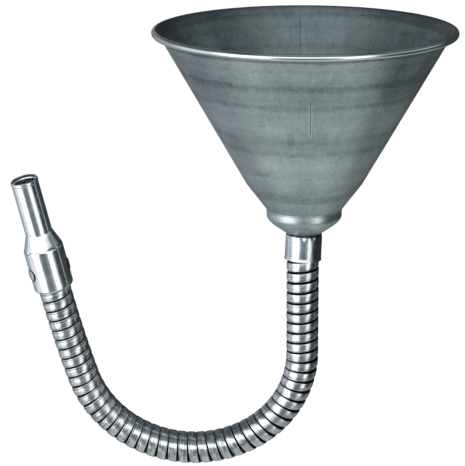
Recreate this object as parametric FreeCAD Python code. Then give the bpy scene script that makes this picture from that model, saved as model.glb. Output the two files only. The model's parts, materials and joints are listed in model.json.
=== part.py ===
"""Galvanised steel funnel with a self-supporting strip-wound metal hose and a reducing nozzle.

Frame, in millimetres: the origin is the centre of the funnel mouth, on the plane of the rolled rim's
wire. +Z is the funnel's axis and points up and out of the mouth. The hose hangs from the outlet, curls
towards -X and comes up again with its nozzle pointing up. +Y points to the back of the loop.

The hose is wound from one S-shaped steel strip whose edges hook into each other from turn to turn.
Here each turn is a closed hooked ring of its own, so that it can tilt against the next one.
"""
import FreeCAD, Part
import math
import os

from FreeCAD import Matrix, Placement, Vector

# Funnel bowl, spun from sheet steel
MOUTH_D = 165.0             # across the outside of the rolled rim
SHEET = 0.5                 # sheet thickness of the bowl and the sump cup
RIM_WIRE_D = 2.7            # stiffening wire inside the rolled rim
WIRE_PLAY = 0.05            # between the wire and the sheet rolled around it
CURL_WRAP = 290.0           # degrees of sheet around the wire
CONE_HALF_ANGLE = 30.0      # upper cone, from the axis
LOWER_HALF_ANGLE = 37.3     # lower cone, from the axis
CONE_BREAK_Z = -82.0        # where the upper cone turns into the lower one
CONE_BREAK_ROUND = 6.0
SKIRT_ROUND = 0.8
SKIRT_R = 19.8              # outside of the short skirt that ends the bowl
SKIRT_H = 2.0

# Sump cup, lapped over the skirt and soldered
CUP_LAP_PLAY = 0.1
CUP_TOP_DROP = 0.1          # its edge, below the end of the bowl's cone
CUP_WALL_H = 2.0            # its straight wall, below the solder
CUP_SHOULDER_R = 4.6        # outside radius where the wall turns in
CUP_SHOULDER_ANGLE = 40.0   # how far that arc turns, in degrees
CUP_BELLY_R = 16.0          # larger arc that follows it
CUP_BELLY_ANGLE = 55.0      # how far the two arcs turn together, in degrees
NECK_R = 6.2                # outside of the drawn outlet tube
NECK_FILLET = 2.0
NECK_END_Z = -122.5
SOLDER_BULGE = 0.15
SOLDER_EDGE_BULGE = 0.06    # the same at its upper and lower edge
SOLDER_FIT = 0.02

# Strainer, seated in the cup under the skirt
STRAINER_RING_R = 19.2
STRAINER_RING_W = 2.4
STRAINER_RING_H = 1.5
STRAINER_SHEET = 0.35
STRAINER_DROP = 0.15        # gap between the skirt's edge and the ring
SCREEN_T = 0.6
SCREEN_PITCH = 2.4
SCREEN_HOLE = 1.7
SCREEN_RIM = 0.51           # unpierced edge inside the ring
SCREEN_GROOVE_PLAY = 0.1

# Upper ferrule, which holds the hose on the outlet
FERRULE_R = 9.95
FERRULE_LIP_R = 10.2
FERRULE_WALL = 0.6
FERRULE_TOP_Z = -111.3
FERRULE_L = 13.4
FERRULE_SHOULDER_R = 1.8
FERRULE_SHOULDER_TURN = 70.0  # degrees that the shoulder turns in
FERRULE_LIP_H = 1.4
NECK_TILT = 2.5             # degrees, the ferrule's lower end leans towards -X

# Hose: one hooked ring for each turn
HOSE_R = 8.9                # outside of a turn
BORE_R = 6.9                # inside of a turn
STRIP = 0.35                # strip thickness
PITCH = 5.75                # from turn to turn along the axis
CROWN_W = 4.5               # outer flange
INNER_W = 3.5               # inner flange
CROWN_BEVEL = 0.3
OUTER_HOOK_R = 7.5          # where the hook under the outer flange ends
INNER_HOOK_R = 8.0          # where the hook on the inner flange ends
START_DEPTH = 0.3           # the first pivot's depth inside the ferrule's lip
END_TURNS_L = 11.0          # length of the fixed turns inside the ferrule
NOZZLE_TURNS_L = 17.0       # length of the fixed turns inside the nozzle

# Each stretch of the hose: turns, then the bend before each turn in the loop's plane, and the lean out
# of that plane towards -Y, both in degrees
STRETCHES = (
    (1, -2.5, 0.0),
    (1, 0.0, -3.0),
    (1, 0.0, 0.0),
    (1, 0.0, -3.0),
    (6, 0.0, 0.0),
    (10, 5.89, 0.0),
    (10, 5.15, 0.0),
    (10, 5.15, 0.3),
    (3, 0.6, 0.0),
    (6, 0.4, 0.0),
)
SOCKET_BEND = 0.4           # the same bend before the nozzle

# Nozzle, swaged from one tube, along its own axis from the hose's last pivot
SOCKET_R = 10.9
SOCKET_START = 0.3
SOCKET_END = 23.8
SOCKET_LIP_R = 10.4
SOCKET_LIP_H = 0.9
TUBE_R = 7.4
TUBE_START = 33.0
NOZZLE_L = 64.0
NOZZLE_WALL = 0.7
TIP_BEAD_R = 7.6
TIP_BEAD_L = 2.2
TIP_BEAD_FLANK = 0.5        # length over which the bead rises and falls
TIP_EDGE_R = 7.2            # outside of the tube's end
SHOULDER_ROUND = 3.0

# Two rivets that pin the hose's end in the nozzle's socket
RIVET_U = 11.0              # from the socket's start pivot
RIVET_SHANK_R = 1.6
RIVET_HEAD_R = 3.5
RIVET_HEAD_H = 1.0
RIVET_PLAY = 0.05
RIVET_ROOT = 0.3            # how far the shank reaches into the head
RIVET_ANGLES = (62.0, -95.0)  # about the nozzle's axis, from its -Y side

CUT_REACH = 1.0             # how far cutting solids reach past what they cut


def sin_deg(angle):
    return math.sin(math.radians(angle))


def cos_deg(angle):
    return math.cos(math.radians(angle))


def tan_deg(angle):
    return math.tan(math.radians(angle))


def section_point(r, z):
    """A point of a section that is turned about Z."""
    return Vector(r, 0.0, z)


def line(a, b):
    return Part.LineSegment(a, b).toShape()


def arc(centre, radius, start, end):
    """An arc in the section's plane, with angles in degrees from +X towards +Z."""
    middle = (start + end) / 2.0
    points = [centre + section_point(radius * cos_deg(a), radius * sin_deg(a)) for a in (start, middle, end)]
    return Part.Arc(*points).toShape()


def turned(face):
    """A full turn of a section about Z."""
    solid = face.revolve(Vector(0, 0, 0), Vector(0, 0, 1), 360.0)
    return solid.Solids[0] if solid.Solids else solid


def turned_outline(points):
    """A full turn of the closed polygon through the points (r, z)."""
    corners = [section_point(r, z) for r, z in points]
    return turned(Part.Face(Part.makePolygon(corners + corners[:1])))


def turned_sheet(edges, thickness):
    """A full turn of a sheet along the edges. It lies to their left, or to their right if it is negative."""
    wire = Part.Wire(edges)
    band = wire.makeOffset2D(thickness, 0, True, True)
    return turned(band.Faces[0])


def fillet_corner(before, corner, after, radius):
    """(end of the first line, arc, start of the second line) for a rounded corner."""
    one = (before - corner).normalize()
    two = (after - corner).normalize()
    half = one.getAngle(two) / 2.0
    reach = radius / math.tan(half)
    start = corner + one * reach
    end = corner + two * reach
    centre = corner + (one + two).normalize() * (radius / math.sin(half))
    middle = centre + (corner - centre).normalize() * radius
    return start, Part.Arc(start, middle, end).toShape(), end


def rounded_path(points, radii):
    """Edges along the points (r, z), with each inner corner rounded to its radius, or left sharp at 0."""
    corners = [section_point(r, z) for r, z in points]
    edges = []
    at = corners[0]
    for before, corner, after, radius in zip(corners, corners[1:], corners[2:], radii):
        if radius:
            start, bend, end = fillet_corner(before, corner, after, radius)
            edges += [line(at, start), bend]
            at = end
        else:
            edges.append(line(at, corner))
            at = corner
    edges.append(line(at, corners[-1]))
    return edges


# Rim

RIM_ROLL_R = RIM_WIRE_D / 2.0 + WIRE_PLAY + SHEET
RIM_CENTRE_R = MOUTH_D / 2.0 - RIM_ROLL_R


def cone_r(z):
    """Outside radius of the bowl's upper cone."""
    start = RIM_CENTRE_R - (RIM_ROLL_R - SHEET) / cos_deg(CONE_HALF_ANGLE)
    return start + z * tan_deg(CONE_HALF_ANGLE)


SKIRT_TOP_Z = CONE_BREAK_Z - (cone_r(CONE_BREAK_Z) - SKIRT_R) / tan_deg(LOWER_HALF_ANGLE)
SKIRT_END_Z = SKIRT_TOP_Z - SKIRT_H


def funnel_bowl():
    """Cone with its upper edge rolled outwards around the rim wire, and a short skirt at the bottom."""
    centre = section_point(RIM_CENTRE_R, 0.0)
    inside = RIM_ROLL_R - SHEET
    joins = 180.0 - CONE_HALF_ANGLE
    roll = arc(centre, inside, joins - CURL_WRAP, joins)
    top = centre + section_point(inside * cos_deg(joins), inside * sin_deg(joins))
    path = rounded_path(
        [
            (top.x, top.z),
            (cone_r(CONE_BREAK_Z), CONE_BREAK_Z),
            (SKIRT_R, SKIRT_TOP_Z),
            (SKIRT_R, SKIRT_END_Z),
        ],
        [CONE_BREAK_ROUND, SKIRT_ROUND],
    )
    return turned_sheet([roll] + path, -SHEET)


def rim_wire():
    return Part.makeTorus(RIM_CENTRE_R, RIM_WIRE_D / 2.0)


# Sump cup

CUP_R = SKIRT_R + CUP_LAP_PLAY + SHEET
CUP_TOP_Z = SKIRT_TOP_Z - CUP_TOP_DROP
CUP_WALL_END_Z = CUP_TOP_Z - CUP_WALL_H
NECK_SLOPE = 90.0 - CUP_BELLY_ANGLE


def cup_belly_end():
    """(shoulder arc's centre, belly arc's centre, where the belly ends) on the cup's outside."""
    shoulder = section_point(CUP_R - CUP_SHOULDER_R, CUP_WALL_END_Z)
    grow = CUP_BELLY_R - CUP_SHOULDER_R
    belly = shoulder - section_point(grow * cos_deg(CUP_SHOULDER_ANGLE), -grow * sin_deg(CUP_SHOULDER_ANGLE))
    reach = section_point(cos_deg(CUP_BELLY_ANGLE), -sin_deg(CUP_BELLY_ANGLE))
    end = belly + reach * CUP_BELLY_R
    return shoulder, belly, end


def sump_cup():
    """Cup with a straight wall, a rounded belly and a drawn outlet tube."""
    shoulder, belly, end = cup_belly_end()
    drop = (end.x - NECK_R) * tan_deg(NECK_SLOPE)
    corner = section_point(NECK_R, end.z - drop)
    tip = section_point(NECK_R, NECK_END_Z)
    cone_end, neck_bend, neck_start = fillet_corner(end, corner, tip, NECK_FILLET)
    edges = [
        line(section_point(CUP_R, CUP_TOP_Z), section_point(CUP_R, CUP_WALL_END_Z)),
        arc(shoulder, CUP_SHOULDER_R, 0.0, -CUP_SHOULDER_ANGLE),
        arc(belly, CUP_BELLY_R, -CUP_SHOULDER_ANGLE, -CUP_BELLY_ANGLE),
        line(end, cone_end),
        neck_bend,
        line(neck_start, tip),
    ]
    return turned_sheet(edges, -SHEET)


def solder_seam():
    """Solder in the corner between the bowl's lower cone and the cup's upper edge."""
    gap = SOLDER_FIT
    low = CUP_TOP_Z + gap
    high = SKIRT_TOP_Z + (CUP_R - SKIRT_R) / tan_deg(LOWER_HALF_ANGLE)
    inner = SKIRT_R + CUP_LAP_PLAY
    inner_z = SKIRT_TOP_Z + (inner - SKIRT_R) / tan_deg(LOWER_HALF_ANGLE) - gap
    return turned_outline(
        [
            (inner, low),
            (CUP_R + SOLDER_EDGE_BULGE, low),
            (CUP_R + SOLDER_BULGE, (low + high) / 2.0),
            (CUP_R + SOLDER_EDGE_BULGE, high - gap),
            (inner, inner_z - gap),
        ]
    )


# Strainer

STRAINER_TOP_Z = SKIRT_END_Z - STRAINER_DROP
SCREEN_TOP_Z = STRAINER_TOP_Z - STRAINER_RING_H / 2.0 + SCREEN_T / 2.0
SCREEN_R = STRAINER_RING_R - STRAINER_SHEET - SCREEN_GROOVE_PLAY


def strainer_ring():
    """Channel ring, folded over the edge of the screen."""
    outer = STRAINER_RING_R
    inner = outer - STRAINER_RING_W
    top = STRAINER_TOP_Z
    end = top - STRAINER_RING_H
    groove = SCREEN_T + 2.0 * SCREEN_GROOVE_PLAY
    upper = top - (STRAINER_RING_H - groove) / 2.0
    lower = upper - groove
    back = outer - STRAINER_SHEET
    return turned_outline(
        [
            (inner, top),
            (outer, top),
            (outer, end),
            (inner, end),
            (inner, lower),
            (back, lower),
            (back, upper),
            (inner, upper),
        ]
    )


def strainer_screen():
    """Screen disc, with a square hole wherever the whole hole lies inside the ring."""
    low = SCREEN_TOP_Z - SCREEN_T
    disc = Part.makeCylinder(SCREEN_R, SCREEN_T, Vector(0, 0, low))
    reach = STRAINER_RING_R - STRAINER_RING_W - SCREEN_RIM
    count = int(SCREEN_R / SCREEN_PITCH) + 1
    holes = []
    for i in range(-count, count + 1):
        for j in range(-count, count + 1):
            x, y = i * SCREEN_PITCH, j * SCREEN_PITCH
            corner = math.hypot(abs(x) + SCREEN_HOLE / 2.0, abs(y) + SCREEN_HOLE / 2.0)
            if corner < reach:
                start = Vector(x - SCREEN_HOLE / 2.0, y - SCREEN_HOLE / 2.0, low - CUT_REACH)
                holes.append(Part.makeBox(SCREEN_HOLE, SCREEN_HOLE, SCREEN_T + 2.0 * CUT_REACH, start))
    return disc.cut(Part.makeCompound(holes)).Solids[0]


# Hose


def neck_frame():
    """The ferrule's frame at the hose's first pivot: point, direction, inward normal, side normal."""
    along = Vector(-sin_deg(NECK_TILT), 0, -cos_deg(NECK_TILT))
    inward = Vector(-cos_deg(NECK_TILT), 0, sin_deg(NECK_TILT))
    point = Vector(0, 0, FERRULE_TOP_Z) + along * (FERRULE_L - START_DEPTH)
    return point, along, inward, Vector(0, 1, 0)


def hose_frames():
    """The frame of every free turn and of the nozzle, and the axis and angle by which each is bent."""
    point, along, inward, side = neck_frame()
    bends = [(bend, lean) for count, bend, lean in STRETCHES for _ in range(count)]
    bends.append((SOCKET_BEND, 0.0))
    frames = []
    axes = []
    for bend, lean in bends:
        axis = side * bend + inward * lean
        angle = axis.Length
        if angle > 0.0:
            spin = FreeCAD.Rotation(axis, angle)
            along, inward, side = (spin.multVec(v) for v in (along, inward, side))
        frames.append((point, along, inward, side))
        axes.append((axis, angle))
        point = point + along * PITCH
    return frames, axes


def placed(solid, frame):
    """Moves a solid built along +Z, with the loop's inside on +X, into a frame of the hose."""
    point, along, inward, side = frame
    matrix = Matrix(
        inward.x, side.x, along.x, point.x,
        inward.y, side.y, along.y, point.y,
        inward.z, side.z, along.z, point.z,
        0, 0, 0, 1,
    )
    moved = solid.copy()
    moved.Placement = Placement(matrix).multiply(moved.Placement)
    return moved


CROWN_START = (PITCH - CROWN_W) / 2.0
CROWN_END = CROWN_START + CROWN_W


def ring_section(start, crown_end, hook_before, hook_after):
    """Points (r, u) of one hooked turn, from its crown's start to the end of its inner flange."""
    under = HOSE_R - STRIP
    top = [(HOSE_R - CROWN_BEVEL, start), (HOSE_R, start + CROWN_BEVEL), (HOSE_R, crown_end - CROWN_BEVEL)]
    if hook_after:
        inner_end = crown_end + INNER_W
        right = [
            (HOSE_R - CROWN_BEVEL, crown_end),
            (BORE_R + STRIP, crown_end),
            (BORE_R + STRIP, inner_end - STRIP),
            (INNER_HOOK_R, inner_end - STRIP),
            (INNER_HOOK_R, inner_end),
            (BORE_R, inner_end),
            (BORE_R, crown_end - STRIP),
            (under, crown_end - STRIP),
        ]
    else:
        right = [(HOSE_R - CROWN_BEVEL, crown_end), (under, crown_end)]
    if hook_before:
        left = [(under, start + STRIP), (OUTER_HOOK_R, start + STRIP), (OUTER_HOOK_R, start)]
    else:
        left = [(under, start)]
    return top + right + left


def hose_turn():
    return turned_outline(ring_section(CROWN_START, CROWN_END, True, True))


def hose_end_top():
    """The fixed turns on the outlet tube, ending in the hook that carries the first free turn."""
    return turned_outline(ring_section(-END_TURNS_L, -CROWN_START, False, True))


def hose_end_bottom():
    """The fixed turns in the nozzle's socket, starting with the hook on the last free turn."""
    return turned_outline(ring_section(CROWN_START, NOZZLE_TURNS_L, True, False))


# Ferrule and nozzle


def ferrule():
    """Sleeve with a rounded shoulder under the cup and a slightly belled lip at the hose's first pivot."""
    lip = START_DEPTH
    top = lip - FERRULE_L
    shoulder = section_point(FERRULE_R - FERRULE_SHOULDER_R, top + FERRULE_SHOULDER_R)
    body_end = lip - FERRULE_LIP_H
    edges = [
        arc(shoulder, FERRULE_SHOULDER_R, -FERRULE_SHOULDER_TURN, 0.0),
        line(section_point(FERRULE_R, shoulder.z), section_point(FERRULE_R, body_end)),
        line(section_point(FERRULE_R, body_end), section_point(FERRULE_LIP_R, lip)),
    ]
    return turned_sheet(edges, FERRULE_WALL)


def nozzle_body():
    """Socket, shoulder and outlet tube with a small bead at the tip."""
    bead_start = NOZZLE_L - TIP_BEAD_L
    path = rounded_path(
        [
            (SOCKET_LIP_R, SOCKET_START),
            (SOCKET_R, SOCKET_START + SOCKET_LIP_H),
            (SOCKET_R, SOCKET_END),
            (TUBE_R, TUBE_START),
            (TUBE_R, bead_start),
            (TIP_BEAD_R, bead_start + TIP_BEAD_FLANK),
            (TIP_BEAD_R, NOZZLE_L - TIP_BEAD_FLANK),
            (TIP_EDGE_R, NOZZLE_L),
        ],
        [0.0, SHOULDER_ROUND, SHOULDER_ROUND, 0.0, 0.0, 0.0],
    )
    return turned_sheet(path, NOZZLE_WALL)


def rivet_shank(radius, start, end):
    return Part.makeCylinder(radius, end - start, Vector(start, 0, RIVET_U), Vector(1, 0, 0))


def rivet_turn(solid, angle):
    """Turns a solid on the local +X side to its angle from the -Y side, positive towards -X."""
    turned_solid = solid.copy()
    turned_solid.rotate(Vector(0, 0, 0), Vector(0, 0, 1), -90.0 - angle)
    return turned_solid


def rivets():
    """Round-headed rivets through the socket's wall, down to the hose's end."""
    dome_r = (RIVET_HEAD_R ** 2 + RIVET_HEAD_H ** 2) / (2.0 * RIVET_HEAD_H)
    base = SOCKET_R + RIVET_PLAY
    dome = Part.makeSphere(dome_r, Vector(base + RIVET_HEAD_H - dome_r, 0, RIVET_U))
    skin = Part.makeCylinder(base, 4.0 * RIVET_HEAD_R, Vector(0, 0, RIVET_U - 2.0 * RIVET_HEAD_R))
    blank = rivet_shank(RIVET_HEAD_R, SOCKET_R - RIVET_HEAD_H, base + RIVET_HEAD_H + CUT_REACH)
    head = blank.common(dome).cut(skin)
    rivet = head.fuse(rivet_shank(RIVET_SHANK_R, HOSE_R + RIVET_PLAY, base + RIVET_ROOT)).removeSplitter()
    return [rivet_turn(rivet, angle) for angle in RIVET_ANGLES]


def nozzle():
    holes = [
        rivet_turn(rivet_shank(RIVET_SHANK_R + RIVET_PLAY, HOSE_R, SOCKET_R + CUT_REACH), angle)
        for angle in RIVET_ANGLES
    ]
    return nozzle_body().cut(Part.makeCompound(holes)).Solids[0]


def assembly():
    """Every node's shape by name, in place."""
    frames, _ = hose_frames()
    neck = neck_frame()
    end = frames[-1]
    nodes = {
        "funnel_bowl": funnel_bowl(),
        "rim_wire": rim_wire(),
        "sump_cup": sump_cup(),
        "solder_seam": solder_seam(),
        "strainer_ring": strainer_ring(),
        "strainer_screen": strainer_screen(),
        "hose_ferrule": placed(ferrule(), neck),
        "hose_end_top": placed(hose_end_top(), neck),
        "hose_end_bottom": placed(hose_end_bottom(), end),
        "nozzle": placed(nozzle(), end),
        "nozzle_rivets": Part.makeCompound([placed(rivet, end) for rivet in rivets()]),
    }
    ring = hose_turn()
    for number, frame in enumerate(frames[:-1], start=1):
        nodes[f"hose_turn_{number:02d}"] = placed(ring, frame)
    return nodes


def main():
    os.makedirs("parts", exist_ok=True)
    nodes = assembly()
    for name, shape in nodes.items():
        if not shape.isValid():
            print("not valid:", name)
        shape.exportStep(f"parts/{name}.step")
    print(len(nodes), "nodes")


main()
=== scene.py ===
"""Looks of the galvanised funnel with its strip-wound hose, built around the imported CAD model.

All lengths are in metres in the CAD frame: the origin is the centre of the mouth, +Z is the funnel's
axis, the hose curls towards -X, and the camera stands on the -Y side.
"""

import json
import math

import bpy
import numpy as np
from mathutils import Matrix, Vector


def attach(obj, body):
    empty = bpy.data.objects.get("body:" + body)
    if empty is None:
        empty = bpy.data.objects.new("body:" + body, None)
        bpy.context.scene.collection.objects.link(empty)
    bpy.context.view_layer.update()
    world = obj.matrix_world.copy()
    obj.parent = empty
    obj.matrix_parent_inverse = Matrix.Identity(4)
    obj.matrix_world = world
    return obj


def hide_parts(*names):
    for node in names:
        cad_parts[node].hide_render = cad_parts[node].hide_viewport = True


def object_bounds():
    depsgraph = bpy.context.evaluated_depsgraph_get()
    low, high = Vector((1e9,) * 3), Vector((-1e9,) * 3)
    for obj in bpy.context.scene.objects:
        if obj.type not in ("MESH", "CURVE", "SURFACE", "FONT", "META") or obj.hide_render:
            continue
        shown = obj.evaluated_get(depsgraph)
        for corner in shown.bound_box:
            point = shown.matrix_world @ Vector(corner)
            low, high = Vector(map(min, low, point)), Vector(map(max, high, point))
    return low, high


MM = 0.001

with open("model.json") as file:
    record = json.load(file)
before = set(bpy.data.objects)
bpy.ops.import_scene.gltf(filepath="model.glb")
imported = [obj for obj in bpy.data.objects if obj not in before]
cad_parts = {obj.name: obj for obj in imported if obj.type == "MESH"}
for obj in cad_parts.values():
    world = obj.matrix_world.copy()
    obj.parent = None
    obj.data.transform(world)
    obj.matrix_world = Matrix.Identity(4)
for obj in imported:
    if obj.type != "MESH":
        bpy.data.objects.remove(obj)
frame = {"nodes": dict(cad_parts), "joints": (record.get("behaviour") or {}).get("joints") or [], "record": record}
cad_low, cad_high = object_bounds()
record = frame["record"]

# Camera, in front of the funnel and above its rim
CAMERA_DISTANCE = 1.600
CAMERA_HEIGHT = 0.2662
CAMERA_SIDE = -0.0192
CAMERA_PITCH = 13.25
CAMERA_YAW = 0.705
CAMERA_CLIP = (0.05, 60.0)
LENS_MM = 233.5
SENSOR_MM = 36.0

# Meshes
SHARP_ANGLE = 40.0          # degrees, edges at a larger angle are drawn sharp
TURN_STEPS = 192            # steps round a turned piece
FINE_TURN_STEPS = 256       # the same for the bowl and the ferrule

# Bowl and sump cup, as in the CAD model
SHEET = 0.5 * MM
RIM_WIRE_R = 1.35 * MM
WIRE_PLAY = 0.05 * MM
CURL_WRAP = 290.0
CONE_HALF_ANGLE = 30.0
LOWER_HALF_ANGLE = 37.3
CONE_BREAK_Z = -82.0 * MM
CONE_BREAK_ROUND = 6.0 * MM
SKIRT_ROUND = 0.8 * MM
SKIRT_R = 19.8 * MM
SKIRT_H = 2.0 * MM
CUP_LAP_PLAY = 0.1 * MM
CUP_WALL_H = 2.0 * MM
CUP_SHOULDER_R = 4.6 * MM
CUP_SHOULDER_ANGLE = 40.0
CUP_BELLY_R = 16.0 * MM
CUP_BELLY_ANGLE = 55.0
NECK_R = 6.2 * MM
NECK_FILLET = 2.0 * MM
NECK_END_Z = -122.5 * MM
SOLDER_BULGE = 0.12 * MM
SOLDER_H = 1.5 * MM
SOLDER_GAP = 0.02 * MM

# Ferrule
FERRULE_R = 9.95 * MM
FERRULE_LIP_R = 10.2 * MM
FERRULE_WALL = 0.6 * MM
FERRULE_L = 15.4 * MM
FERRULE_SHOULDER_R = 2.0 * MM
FERRULE_LIP_H = 1.4 * MM
FERRULE_FLARE = 0.12 * MM   # how far the lip has opened after FERRULE_FLARE_L
FERRULE_FLARE_L = 0.5 * MM
FERRULE_START_DEPTH = 0.3 * MM
NECK_TILT = 2.5             # degrees that the ferrule's lower end leans towards -X
CRIMP_COUNT = 12
CRIMP_DEPTH = 0.45 * MM
CRIMP_REACH = 3.4 * MM      # the dents end this far below the ferrule's top
CRIMP_FADE = 1.8 * MM

# Hose. The strip's section is measured along the hose from the middle of its crown
HOSE_R = 8.83 * MM
CROWN_EDGE_R = 8.73 * MM
BORE_R = 6.9 * MM
STRIP = 0.35 * MM
PITCH = 5.75 * MM
CROWN_START = -2.25 * MM
CROWN_DONE = 1.95 * MM
LIP_ROUND = 0.42 * MM
LIP_END_R = 8.42 * MM
SHELF_R = 8.5 * MM
SHELF_DONE = 2.5 * MM
GROOVE_R = 8.3 * MM
GROOVE_DONE = 4.3 * MM
STEP_RUN = 0.1 * MM
FLANGE_DONE = 5.4 * MM
CROWN_ROUND = 3.0 * MM
FOLD_ROUND = 0.3 * MM
EDGE_ROUND = 0.12 * MM
STEP_ROUND = 0.08 * MM
STRIP_STEPS = 90            # steps of the strip in one turn
CUT_ANGLE = 90.0            # degrees round the hose where each turn is cut from the next: at its back
HIDDEN_TURNS = 2.0          # fixed turns inside the ferrule, and inside the nozzle

# Nozzle
SOCKET_R = 10.9 * MM
SOCKET_START = 0.3 * MM
SOCKET_END = 23.8 * MM
SOCKET_LIP_R = 10.4 * MM
SOCKET_LIP_H = 0.9 * MM
TUBE_R = 7.4 * MM
TUBE_START = 33.0 * MM
NOZZLE_L = 64.0 * MM
NOZZLE_WALL = 0.7 * MM
TIP_BEAD_R = 7.6 * MM
TIP_BEAD_L = 2.2 * MM
TIP_BEAD_FLANK = 0.5 * MM
SHOULDER_ROUND = 3.0 * MM
FACET_COUNT = 7
FACET_DEPTH = 0.3 * MM
NOZZLE_TURN_STEPS = 36 * FACET_COUNT

# Rivets in the nozzle's socket
RIVET_U = 11.0 * MM         # along the hose from the last pivot
RIVET_HEAD_R = 3.5 * MM
RIVET_HEAD_H = 0.6 * MM
RIVET_SINK = 0.7 * MM       # depth of the head below the socket's surface
RIVET_POLE = 0.02 * MM      # pinhole in the middle of the turned head
RIVET_ANGLES = (62.0, -95.0)  # degrees from -Y towards local -X

# Finish
SEAM_X = -1.8 * MM          # dark line of the sheet's seam, inside the back of the bowl
RIM_WEAR_AND_HIGHLIGHT_Z = -1.0 * MM      # the roll is polished by handling above this height, and painted lighter there as a highlight
RIM_WEAR_AND_HIGHLIGHT_FADE = 2.0 * MM
# Painted shade on the cup's underside, from this height down to its outlet
CUP_SHADE_START_Z = -106.0 * MM
CUP_SHADE_FULL_Z = -111.0 * MM
# Painted shade down the ferrule's right side, standing in for a dark reflection there
SIDE_SHADE_FROM, SIDE_SHADE_TO = 24.0, 68.0  # degrees from -Y towards local -X
SIDE_SHADE_KEEP = 0.55              # share of the clean colour that is left
SIDE_SHADE_SOFT = 7.0
SIDE_SHADE_WAVE = 30.0
# Painted shadow along the ferrule's top, where it meets the cup
FERRULE_SHADOW_START = 2.3 * MM
FERRULE_SHADOW_FULL = 1.6 * MM

# Display colours from 0 to 255
# painted highlight on the outer top of the rim roll
RIM_HIGHLIGHT_COLOUR = (236, 242, 242)
# painted shade down the ferrule's right side
SIDE_SHADE_COLOUR = (40, 46, 54)
# painted shadow on the ferrule, darker lines on the nozzle
SHADOW_AND_DARK_LINE_COLOUR = (34, 36, 40)
# painted shadow in the hose's grooves
GROOVE_SHADOW_COLOUR = (22, 24, 28)
RIVET_EDGE_COLOUR = (40, 42, 44)

# Floor, which the camera sees as white
FLOOR_Z = -0.5
FLOOR_HALF = 8.0
FLOOR_GREY = 0.4
FLOOR_ROUGHNESS = 0.9
FLOOR_GLOW = 0.92


def sin_deg(a):
    return math.sin(math.radians(a))


def cos_deg(a):
    return math.cos(math.radians(a))


def tan_deg(a):
    return math.tan(math.radians(a))


# Outlines of sections, as lists of points (r, z)


def arc_points(centre, radius, start, end, steps):
    """Points of an arc, with angles in degrees from +r towards +z."""
    angles = [start + (end - start) * i / steps for i in range(steps + 1)]
    return [(centre[0] + radius * cos_deg(a), centre[1] + radius * sin_deg(a)) for a in angles]


def rounded(corners, steps=6, closed=False):
    """The corners (r, z, radius) as points, each one rounded to its radius."""
    count = len(corners)
    points = []
    for i, (r, z, radius) in enumerate(corners):
        at = Vector((r, z))
        inner = closed or 0 < i < count - 1
        if not radius or not inner:
            points.append((r, z))
            continue
        before = (Vector(corners[i - 1][:2]) - at).normalized()
        after = (Vector(corners[(i + 1) % count][:2]) - at).normalized()
        half = before.angle(after) / 2.0
        reach = radius / math.tan(half)
        centre = at + (before + after).normalized() * (radius / math.sin(half))
        start, end = at + before * reach - centre, at + after * reach - centre
        turn = start.angle_signed(end)
        for k in range(steps + 1):
            share = turn * k / steps
            spin = Matrix.Rotation(-share, 2)
            p = centre + spin @ start
            points.append((p.x, p.y))
    return points


def spaced(points, step):
    """The open line of points with extra ones added so that none are further apart than step."""
    out = [points[0]]
    for a, b in zip(points, points[1:]):
        count = max(1, math.ceil(math.dist(a, b) / step))
        for k in range(1, count + 1):
            out.append((a[0] + (b[0] - a[0]) * k / count, a[1] + (b[1] - a[1]) * k / count))
    return out


def sheet_outline(points, thickness):
    """Closed outline of a sheet along the open line, to its right where thickness is positive."""
    line = np.array(points)
    steps = np.diff(line, axis=0)
    steps /= np.linalg.norm(steps, axis=1)[:, None]
    along = np.vstack([steps[:1], steps[:-1] + steps[1:], steps[-1:]])
    along /= np.linalg.norm(along, axis=1)[:, None]
    normal = np.column_stack([along[:, 1], -along[:, 0]])
    other = line + normal * thickness
    return [tuple(p) for p in line] + [tuple(p) for p in other[::-1]]


# Meshes


def mesh_piece(name, points, faces, local=None):
    """A smooth-shaded mesh object whose points keep their own coordinates in the attribute local."""
    mesh = bpy.data.meshes.new(name)
    mesh.from_pydata([tuple(p) for p in points], [], faces)
    mesh.polygons.foreach_set("use_smooth", [True] * len(mesh.polygons))
    mesh.set_sharp_from_angle(angle=math.radians(SHARP_ANGLE))
    attribute = mesh.attributes.new("local", "FLOAT_VECTOR", "POINT")
    values = np.array(points if local is None else local, np.float32)
    attribute.data.foreach_set("vector", values.ravel())
    obj = bpy.data.objects.new(name, mesh)
    bpy.context.scene.collection.objects.link(obj)
    return obj


def grid_faces(rows, columns, wrap_rows):
    """Faces of a grid of points whose columns join up all round, and its rows where wrap_rows is true."""
    faces = []
    for i in range(rows if wrap_rows else rows - 1):
        for j in range(columns):
            a, b = i * columns + j, i * columns + (j + 1) % columns
            c, d = ((i + 1) % rows) * columns + (j + 1) % columns, ((i + 1) % rows) * columns + j
            faces.append((a, b, c, d))
    return faces


def turned(outline, steps, relief=None):
    """Points and faces of a closed outline (r, z) turned about Z, with relief(angle, r, z) added to r."""
    outline = np.array(outline)
    angles = np.linspace(0.0, 2.0 * math.pi, steps, endpoint=False)
    r = np.tile(outline[:, 0], (steps, 1))
    z = np.tile(outline[:, 1], (steps, 1))
    a = np.tile(angles[:, None], (1, len(outline)))
    if relief:
        r = r + relief(a, r, z)
    points = np.stack([r * np.cos(a), r * np.sin(a), z], axis=2).reshape(-1, 3)
    area = 0.0
    for (r0, z0), (r1, z1) in zip(outline, np.roll(outline, -1, axis=0)):
        area += r0 * z1 - r1 * z0
    faces = grid_faces(steps, len(outline), True)
    if area > 0:
        faces = [f[::-1] for f in faces]
    return points, faces


def lathe(name, outline, steps=TURN_STEPS, relief=None):
    points, faces = turned(outline, steps, relief)
    return mesh_piece(name, points, faces)


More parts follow.
